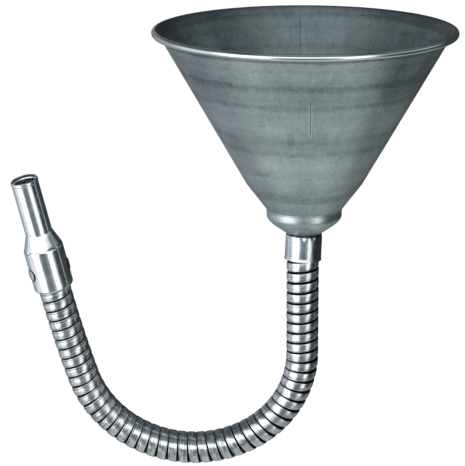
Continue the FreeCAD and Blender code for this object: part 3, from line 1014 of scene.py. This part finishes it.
def shoulder_shadow(n, place):
    """Painted shadow along the ferrule's upper edge, where it meets the cup."""
    z = n.parts(place)[2]
    top = FERRULE_START_DEPTH - FERRULE_L
    return n.calc("MULTIPLY", n.smooth(z, top + FERRULE_SHADOW_START, top + FERRULE_SHADOW_FULL), 0.95)


def rivet_steel():
    """Pale flattened head with a dark rim."""
    n = Nodes("rivet_finish")
    across, up, out = n.parts(n.attribute("local"))
    away = n.reach(across, up)
    spots = n.noise(n.vector(across, up, out), 900.0, 4.0, 0.6)
    metal = n.mix(n.remap(spots, 0.35, 0.65), rgb(176, 178, 160), rgb(230, 232, 218))
    ragged = n.calc("ADD", away, n.calc("MULTIPLY", spots, 0.4 * MM))
    rim = n.smooth(ragged, RIVET_HEAD_R - 0.35 * MM, RIVET_HEAD_R + 0.05 * MM)
    colour = n.mix(rim, metal, rgb(*RIVET_EDGE_COLOUR))
    rough = n.remap(spots, 0.3, 0.7, 0.24, 0.4)
    return n.finish(colour, rough, n.bump(spots, 0.3, 0.05 * MM))


def build_rivets(place):
    """Both rivet heads as one piece, each with the axis of its head as local Z."""
    outline = rounded(
        [
            (RIVET_POLE, RIVET_HEAD_H, 0.0),
            (0.5 * RIVET_HEAD_R, RIVET_HEAD_H, 2.0 * MM),
            (RIVET_HEAD_R, 0.35 * RIVET_HEAD_H, 0.8 * MM),
            (RIVET_HEAD_R, -RIVET_SINK, 0.0),
            (RIVET_POLE, -RIVET_SINK, 0.0),
        ]
    )
    up = Vector((0.0, 0.0, 1.0))
    points, local, faces = [], [], []
    for angle in RIVET_ANGLES:
        way = rivet_way(angle)
        head, head_faces = turned(spaced(outline, 0.4 * MM), 48)
        axes = frame_matrix(way * SOCKET_R + up * RIVET_U, up.cross(way), up, way)
        shift = len(points)
        points += [axes @ Vector(q) for q in head]
        local += [tuple(q) for q in head]
        faces += [tuple(i + shift for i in f) for f in head_faces]
    obj = mesh_piece("rivet_heads", points, faces, local)
    put(obj, place, "nozzle_end", "nozzle_rivets", slot="rivet_steel", material=rivet_steel())


def build_nozzle():
    zinc = zinc_plate("nozzle_finish", rgb(250, 254, 255), rgb(212, 222, 227), 0.15, shadow_and_dark_lines=nozzle_dark_lines)
    along, inward, side = SEGMENTS[-1]
    place = frame_matrix(PIVOTS[-1], inward, side, along)
    outline = nozzle_outline()
    obj = lathe("nozzle_tube", outline, NOZZLE_TURN_STEPS, facet_relief)
    mark_sheet_sides(obj, len(outline))
    put(obj, place, "nozzle_end", "nozzle", slot="nozzle_zinc", material=zinc)
    build_rivets(place)


def build_hose():
    steel = strip_steel()
    count = len(PIVOTS) - 1
    end = strip_piece("strip_top", -HIDDEN_TURNS, 0.0)
    put(end, Matrix.Identity(4), "bowl", "hose_end_top", slot="hose_strip", material=steel)
    for k in range(count):
        piece = strip_piece(f"strip_{k + 1:02d}", float(k), float(k + 1))
        body, node = f"turn_{k + 1:02d}", f"hose_turn_{k + 1:02d}"
        put(piece, Matrix.Identity(4), body, node, slot="hose_strip", material=steel)
    end = strip_piece("strip_bottom", float(count), count + HIDDEN_TURNS)
    put(end, Matrix.Identity(4), "nozzle_end", "hose_end_bottom", slot="hose_strip", material=steel)


# Stage


# What the studio looks like from the funnel. Directions are in degrees: azimuth 0 is the camera's side and
# grows to the right. Each patch: lowest and highest azimuth, softness, lowest and highest elevation,
# softness, colour.
STUDIO_PATCHES = (
    ((-200.0, 200.0, 10.0), (-95.0, -46.0, 30.0), (0.5, 0.53, 0.54)),
    ((-200.0, 200.0, 10.0), (70.0, 95.0, 14.0), (0.3, 0.32, 0.34)),
    ((-60.0, 60.0, 40.0), (22.0, 62.0, 18.0), (0.25, 0.28, 0.31)),
    ((-200.0, 200.0, 20.0), (22.0, 62.0, 18.0), (0.11, 0.13, 0.15)),
    ((-35.0, 24.0, 16.0), (-50.0, 10.0, 24.0), (0.16, 0.19, 0.21)),
    ((-46.0, 30.0, 14.0), (0.0, 30.0, 12.0), (1.7, 1.74, 1.76)),
    ((-155.0, -84.0, 30.0), (-50.0, 20.0, 24.0), (0.38, 0.4, 0.44)),
    ((-118.0, -60.0, 44.0), (-42.0, 20.0, 16.0), (0.85, 0.88, 0.92)),
    ((-200.0, -150.0, 30.0), (-50.0, 20.0, 24.0), (0.25, 0.26, 0.28)),
    ((100.0, 200.0, 30.0), (-60.0, -24.0, 30.0), (0.26, 0.28, 0.28)),
    ((52.0, 120.0, 24.0), (4.0, 24.0, 10.0), (0.5, 0.53, 0.55)),
    ((-104.0, -14.0, 22.0), (-62.0, 16.0, 24.0), (0.36, 0.38, 0.42)),
    ((12.0, 62.0, 14.0), (-62.0, 16.0, 24.0), (0.3, 0.32, 0.34)),
    ((-74.0, -26.0, 16.0), (-42.0, 24.0, 14.0), (1.9, 1.94, 1.98)),
    ((26.0, 54.0, 16.0), (-42.0, 24.0, 14.0), (1.45, 1.47, 1.47)),
)
STUDIO_DARK = (0.045, 0.05, 0.053)


def build_world():
    world = bpy.data.worlds.new("studio")
    world.use_nodes = True
    bpy.context.scene.world = world
    tree = world.node_tree
    tree.nodes.clear()

    def add(kind, operation=None, **values):
        node = tree.nodes.new("ShaderNode" + kind)
        if operation:
            node.operation = operation
        for key, value in values.items():
            socket = node.inputs[int(key[1:])] if key[0] == "i" and key[1:].isdigit() else node.inputs[key]
            if isinstance(value, bpy.types.NodeSocket):
                tree.links.new(value, socket)
            else:
                socket.default_value = value
        return node

    def calc(operation, a, b=0.0):
        return add("Math", operation, i0=a, i1=b).outputs[0]

    def smooth(value, low, high):
        node = add("MapRange", Value=value, **{"From Min": low, "From Max": high})
        node.interpolation_type = "SMOOTHSTEP"
        return node.outputs["Result"]

    def within(value, low, high, soft):
        rise = smooth(value, low - soft / 2.0, low + soft / 2.0)
        return calc("MULTIPLY", rise, smooth(value, high + soft / 2.0, high - soft / 2.0))

    way = add("TexCoord").outputs["Generated"]
    x, y, z = add("SeparateXYZ", Vector=way).outputs
    azimuth = calc("DEGREES", calc("ARCTAN2", x, calc("MULTIPLY", y, -1.0)))
    elevation = calc("DEGREES", calc("ARCSINE", z))
    light = add("VectorMath", "ADD", i0=STUDIO_DARK).outputs[0]
    for azimuths, elevations, colour in STUDIO_PATCHES:
        mask = calc("MULTIPLY", within(azimuth, *azimuths), within(elevation, *elevations))
        tint = add("VectorMath", "MULTIPLY", i0=mask, i1=colour).outputs[0]
        light = add("VectorMath", "MAXIMUM", i0=light, i1=tint).outputs[0]
    lit = add("Background", Color=light, Strength=1.0)
    seen = add("Background", Color=(1.0, 1.0, 1.0, 1.0), Strength=1.0)
    path = add("LightPath")
    both = add("MixShader", i0=path.outputs["Is Camera Ray"], i1=lit.outputs[0], i2=seen.outputs[0])
    out = add("OutputWorld")
    tree.links.new(both.outputs[0], out.inputs["Surface"])


def build_floor():
    half = FLOOR_HALF
    corners = [(-half, -half, FLOOR_Z), (half, -half, FLOOR_Z), (half, half, FLOOR_Z), (-half, half, FLOOR_Z)]
    mesh = bpy.data.meshes.new("floor")
    mesh.from_pydata(corners, [], [(0, 1, 2, 3)])
    floor = bpy.data.objects.new("floor", mesh)
    bpy.context.scene.collection.objects.link(floor)
    n = Nodes("floor_finish")
    n.shader.inputs["Base Color"].default_value = (FLOOR_GREY, FLOOR_GREY, FLOOR_GREY, 1.0)
    n.shader.inputs["Roughness"].default_value = FLOOR_ROUGHNESS
    n.shader.inputs["Emission Color"].default_value = (1.0, 1.0, 1.0, 1.0)
    n.shader.inputs["Emission Strength"].default_value = FLOOR_GLOW
    mesh.materials.append(n.material)
    floor.visible_glossy = False
    floor.visible_shadow = False


def build_camera():
    data = bpy.data.cameras.new("camera")
    data.lens = LENS_MM
    data.sensor_width = SENSOR_MM
    data.clip_start, data.clip_end = CAMERA_CLIP
    camera = bpy.data.objects.new("camera", data)
    camera.location = (CAMERA_SIDE, -CAMERA_DISTANCE, CAMERA_HEIGHT)
    camera.rotation_euler = (math.radians(90.0 - CAMERA_PITCH), 0.0, math.radians(CAMERA_YAW))
    bpy.context.scene.collection.objects.link(camera)
    bpy.context.scene.camera = camera


def build_stage():
    bpy.context.scene.view_settings.view_transform = "Standard"
    build_camera()
    build_world()
    build_floor()


build_bowl()
build_strainer()
build_ferrule()
build_hose()
build_nozzle()
build_stage()
